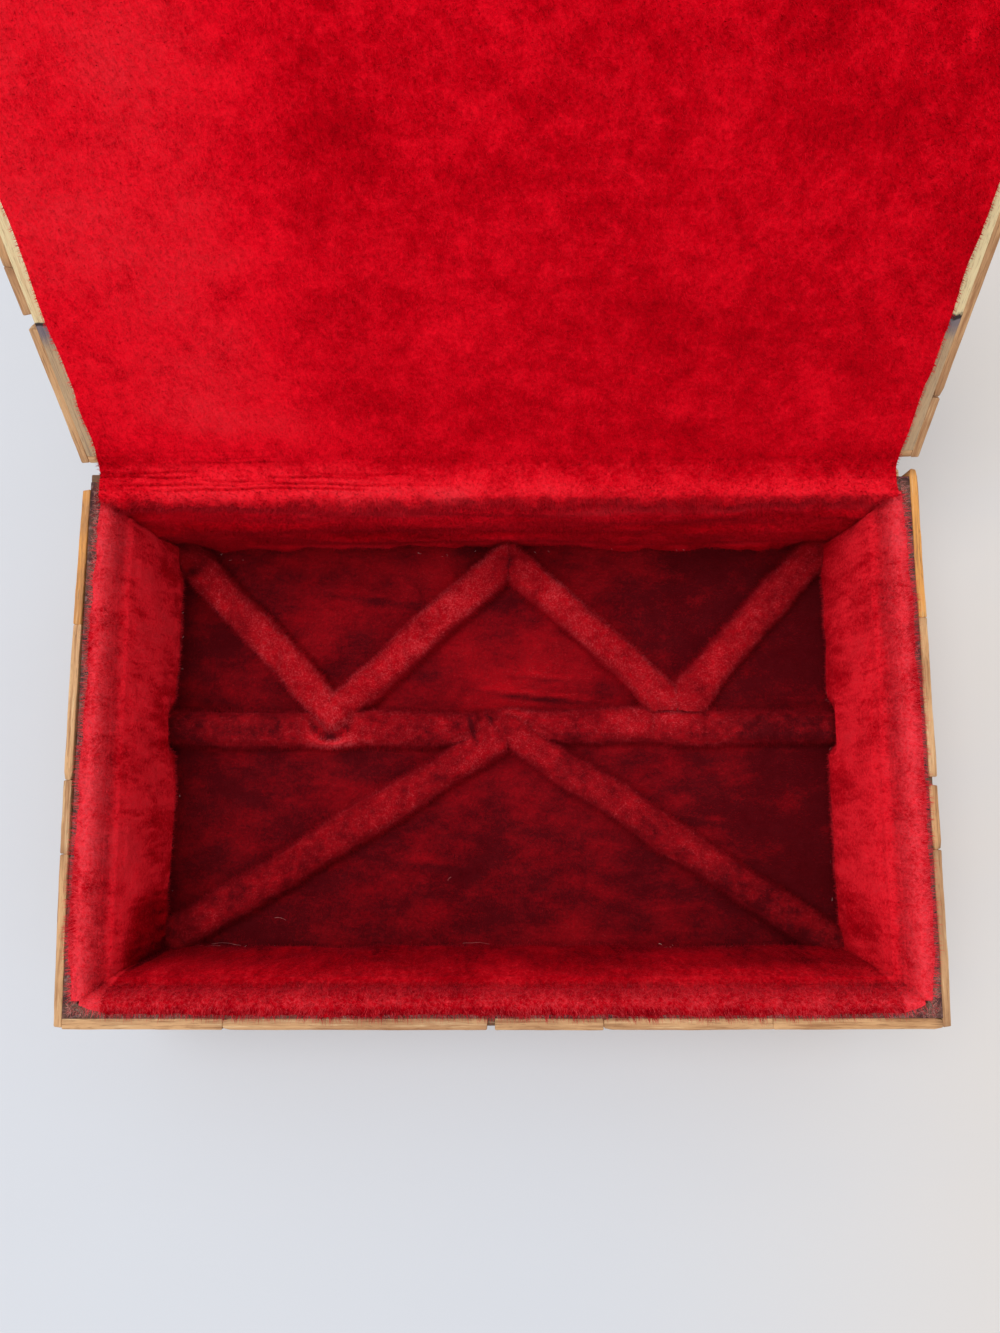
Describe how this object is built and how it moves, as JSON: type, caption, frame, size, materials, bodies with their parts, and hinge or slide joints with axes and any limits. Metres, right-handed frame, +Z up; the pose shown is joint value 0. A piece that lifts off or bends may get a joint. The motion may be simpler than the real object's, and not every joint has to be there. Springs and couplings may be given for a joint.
{
  "type": "jewelry box",
  "caption": "Hinged wooden jewelry box clad in short slats, lined with padded plush, with plush-covered strips dividing its floor and a plank lid that leans back.",
  "frame": {"origin": "middle of the underside of the base board, on which the box stands", "axes": "+Z up, +X to the right as seen from the front, +Y to the back, where the hinges are"},
  "size_m": [0.25, 0.2675, 0.1913],
  "materials": {
    "carcass": "bare, dusty, dark brown",
    "slats": "old varnish, worn edges",
    "front_plank": "bare, pale",
    "rear_plank": "bare, tan and grey",
    "cores": "bare",
    "card": "grey pasteboard",
    "nails": "dull, lightly rusted",
    "brass": "tarnished",
    "wall_plush": "plush pile",
    "lid_plush": "plush pile",
    "floor_plush": "plush pile",
    "divider_plush": "plush pile"
  },
  "bodies": {
    "case": {"arrow_left_core": "cores", "arrow_left_cover": "divider_plush", "arrow_right_core": "cores", "arrow_right_cover": "divider_plush", "back_lining": "wall_plush", "back_lining_card": "card", "back_lower_slats": "slats", "back_top_slats": "slats", "back_wall": "carcass", "base_board": "carcass", "base_nails": "nails", "body_hinge_screws": "brass", "cross_left_core": "cores", "cross_left_cover": "divider_plush", "cross_right_core": "cores", "cross_right_cover": "divider_plush", "floor_card": "card", "floor_lining": "floor_plush", "front_lining": "wall_plush", "front_lining_card": "card", "front_lower_slats": "slats", "front_top_slats": "slats", "front_wall": "carcass", "hinge_flap": "lid_plush", "left_hinge_fixed_leaf": "brass", "left_hinge_pin": "brass", "left_lining": "wall_plush", "left_lining_card": "card", "left_lower_slats": "slats", "left_top_slats": "slats", "left_wall": "carcass", "right_hinge_fixed_leaf": "brass", "right_hinge_pin": "brass", "right_lining": "wall_plush", "right_lining_card": "card", "right_lower_slats": "slats", "right_top_slats": "slats", "right_wall": "carcass", "wall_nails": "nails", "zigzag_left_inner_core": "cores", "zigzag_left_inner_cover": "divider_plush", "zigzag_left_outer_core": "cores", "zigzag_left_outer_cover": "divider_plush", "zigzag_right_inner_core": "cores", "zigzag_right_inner_cover": "divider_plush", "zigzag_right_outer_core": "cores", "zigzag_right_outer_cover": "divider_plush"},
    "lid": {"left_hinge_moving_leaf": "brass", "lid_back_edge_slats": "slats", "lid_card": "card", "lid_front_edge_slats": "slats", "lid_front_plank": "front_plank", "lid_hinge_screws": "brass", "lid_left_edge_slats": "slats", "lid_lining": "lid_plush", "lid_rear_plank": "rear_plank", "lid_right_edge_slats": "slats", "lid_top_slats": "slats", "right_hinge_moving_leaf": "brass"}
  },
  "joints": [
    {"name": "lid_hinge", "type": "hinge", "parent": "case", "child": "lid", "pos_m": [0, 0.0818, 0.06215], "axis": [1, 0, 0], "range_deg": [0, 127], "deforming": ["hinge_flap"]}
  ]
}
